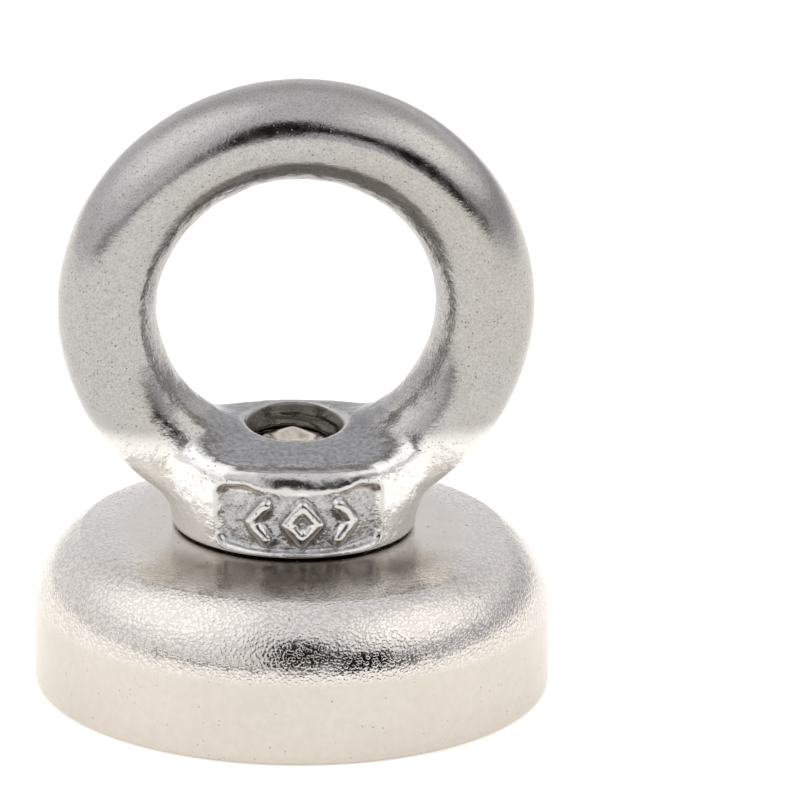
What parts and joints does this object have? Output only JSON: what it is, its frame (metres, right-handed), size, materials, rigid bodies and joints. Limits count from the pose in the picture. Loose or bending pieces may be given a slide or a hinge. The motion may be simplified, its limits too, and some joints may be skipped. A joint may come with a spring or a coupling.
{
  "type": "magnet fishing magnet",
  "caption": "Small round pot magnet with a screwed-on cast eye nut for a line, used to pull iron and steel objects out of water or soil.",
  "frame": {"origin": "centre of the working face, in the plane of the pot's rim", "axes": "+Z along the screw, from the working face towards the eye; X lies in the plane of the eye; the eye nut's front faces -Y"},
  "size_m": [0.025, 0.025, 0.0302],
  "materials": {
    "nickel_plate": "satin nickel plating over deep-drawn steel, fine orange-peel texture",
    "magnet_plating": "smooth bright nickel plating over sintered neodymium",
    "adhesive": "cured amber retaining adhesive",
    "resin": "cured black epoxy, slightly glossy",
    "screw_steel": "plain rolled stainless steel",
    "cast_stainless": "investment-cast stainless steel, tumbled, with fine pits"
  },
  "bodies": {
    "magnet_pot": {"steel_pot": "nickel_plate", "ring_magnet": "magnet_plating", "magnet_adhesive": "adhesive", "resin_ring": "resin"},
    "screw": {"countersunk_screw": "screw_steel"},
    "eye": {"eye_nut": "cast_stainless"}
  },
  "joints": [
    {"name": "screw_turn", "type": "hinge", "parent": "magnet_pot", "child": "screw", "pos_m": [0, 0, 0.0046], "axis": [0, 0, -1], "range_deg": [0, 2160.1]},
    {"name": "eye_nut_rise", "type": "slide", "parent": "magnet_pot", "child": "eye", "axis": [0, 0, 1], "range_m": [0, 0.0042]}
  ],
  "couplings": [
    {"joint": "screw_turn", "follows": "eye_nut_rise", "rad_per_m": 8976}
  ]
}
